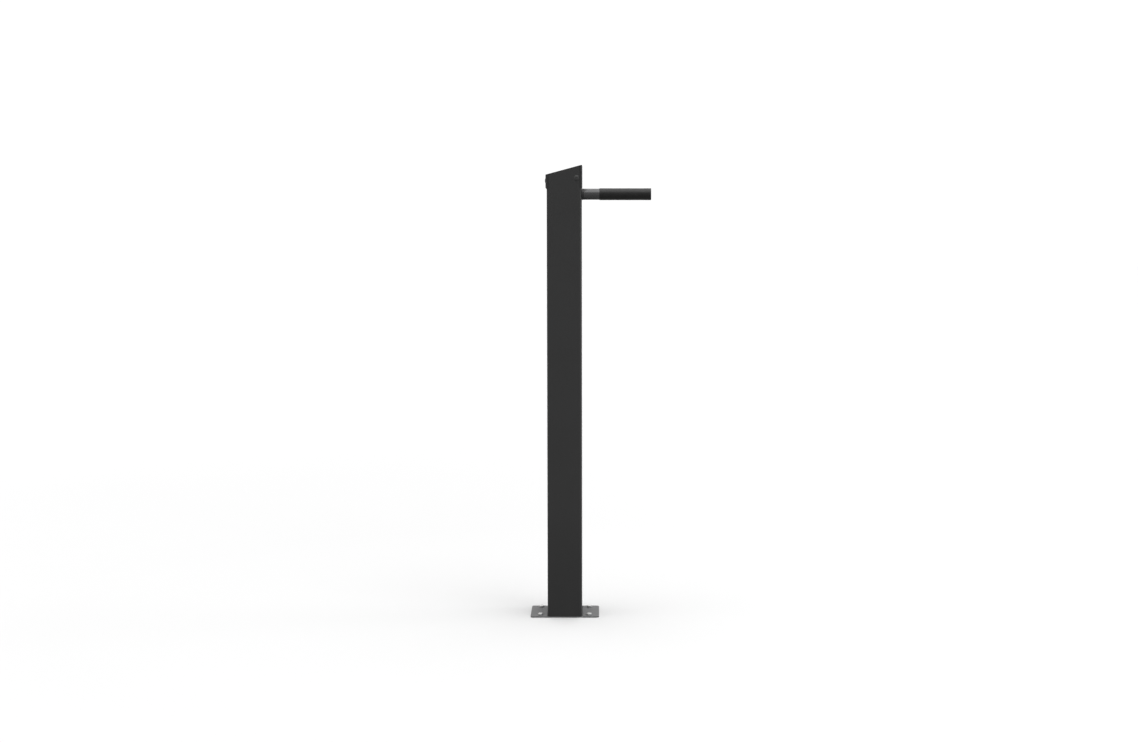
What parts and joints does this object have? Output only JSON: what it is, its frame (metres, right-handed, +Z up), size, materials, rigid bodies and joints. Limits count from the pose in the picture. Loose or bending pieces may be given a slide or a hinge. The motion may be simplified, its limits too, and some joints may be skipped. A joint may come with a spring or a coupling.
{
  "type": "floor-standing bicycle hanging post",
  "caption": "Rectangular steel post on a bolted foot plate, with a sloping sheet lid and a pair of rubber-sleeved arms that a bicycle's frame hangs on.",
  "frame": {"origin": "centre of the foot plate's underside, on the floor", "axes": "+Z up the post, +X out of the front, the way the arms point, +Y to the right seen from the front"},
  "size_m": [0.3535, 0.1552, 1.3296],
  "materials": {
    "charcoal_coat": "matt powder coat",
    "plate_steel": "dull galvanised",
    "arm_steel": "dark drawn, satin",
    "zinc": "bright zinc",
    "rubber": "matt",
    "black_plastic": "satin"
  },
  "bodies": {
    "root": {"anchor_bolt_front_left": "zinc", "anchor_bolt_front_right": "zinc", "anchor_bolt_rear_left": "zinc", "anchor_bolt_rear_right": "zinc", "arm_backing_plate": "zinc", "arm_bolt_left": "zinc", "arm_bolt_right": "zinc", "arm_boss_left": "arm_steel", "arm_boss_right": "arm_steel", "arm_end_plug_left": "black_plastic", "arm_end_plug_right": "black_plastic", "arm_gasket_left": "rubber", "arm_gasket_right": "rubber", "arm_sleeve_left": "rubber", "arm_sleeve_right": "rubber", "arm_spring_washer_left": "zinc", "arm_spring_washer_right": "zinc", "arm_tube_left": "arm_steel", "arm_tube_right": "arm_steel", "base_plate": "plate_steel", "lid_bracket_left": "zinc", "lid_bracket_right": "zinc", "lid_cover": "charcoal_coat", "lid_rivet_nut_rear_left": "zinc", "lid_rivet_nut_rear_right": "zinc", "lid_rivet_nut_side_left": "zinc", "lid_rivet_nut_side_right": "zinc", "lid_screw_rear_left": "charcoal_coat", "lid_screw_rear_right": "charcoal_coat", "lid_screw_side_left": "charcoal_coat", "lid_screw_side_right": "charcoal_coat", "post_column": "charcoal_coat"}
  },
  "joints": []
}
